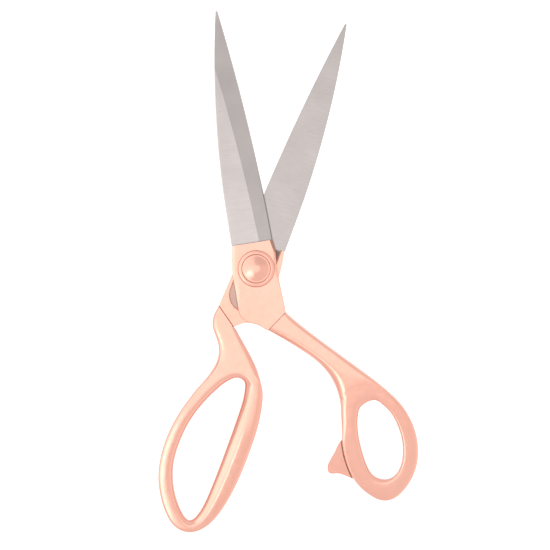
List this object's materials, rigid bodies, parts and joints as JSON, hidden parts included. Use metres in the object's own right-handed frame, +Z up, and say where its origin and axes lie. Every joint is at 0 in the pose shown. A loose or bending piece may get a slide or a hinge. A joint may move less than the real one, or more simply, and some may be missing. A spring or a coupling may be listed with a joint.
{
  "type": "shears",
  "caption": "Bent-handle cutting shears: two broad steel blades with rose-gold cast handles, a large finger loop and a small thumb loop, opening on a screw pivot.",
  "frame": {"origin": "on the pivot axis, at the end face of the pivot screw, which lies in the plane that the shears rest on", "axes": "+Z up from the table along the pivot axis, +Y towards the tips, +X towards the thumb loop"},
  "size_m": [0.117, 0.2346, 0.012],
  "materials": {
    "rose_gold": "gloss",
    "blade_steel": "satin",
    "fixing_steel": "satin",
    "bush_brass": "satin"
  },
  "bodies": {
    "lower_half": {"lower_blade": "blade_steel", "finger_handle": "rose_gold", "lower_tang_pin_front": "fixing_steel", "lower_tang_pin_rear": "fixing_steel", "pivot_bush": "bush_brass"},
    "upper_half": {"upper_blade": "blade_steel", "thumb_handle": "rose_gold", "upper_tang_pin_front": "fixing_steel", "upper_tang_pin_rear": "fixing_steel", "closing_stop": "rose_gold", "stop_pin": "fixing_steel", "pivot_screw": "rose_gold", "cup_washer": "rose_gold", "disc_spring": "fixing_steel"},
    "tension_washer": {"flat_washer": "fixing_steel"},
    "tension_nut": {"pivot_nut": "rose_gold"}
  },
  "joints": [
    {"name": "blade_pivot", "type": "hinge", "parent": "lower_half", "child": "upper_half", "pos_m": [0, 0, 0.0055], "axis": [0, 0, 1], "range_deg": [-28.9, 91]},
    {"name": "nut_travel", "type": "slide", "parent": "upper_half", "child": "tension_washer", "axis": [0, 0, 1], "range_m": [-0.000175, 0.000175], "deforming": ["disc_spring"]},
    {"name": "nut_turn", "type": "hinge", "parent": "tension_washer", "child": "tension_nut", "pos_m": [0, 0, 0.001], "axis": [0, 0, 1], "range_deg": [-90.5, 90.5]}
  ],
  "couplings": [
    {"joint": "nut_turn", "follows": "nut_travel", "rad_per_m": 8976}
  ]
}
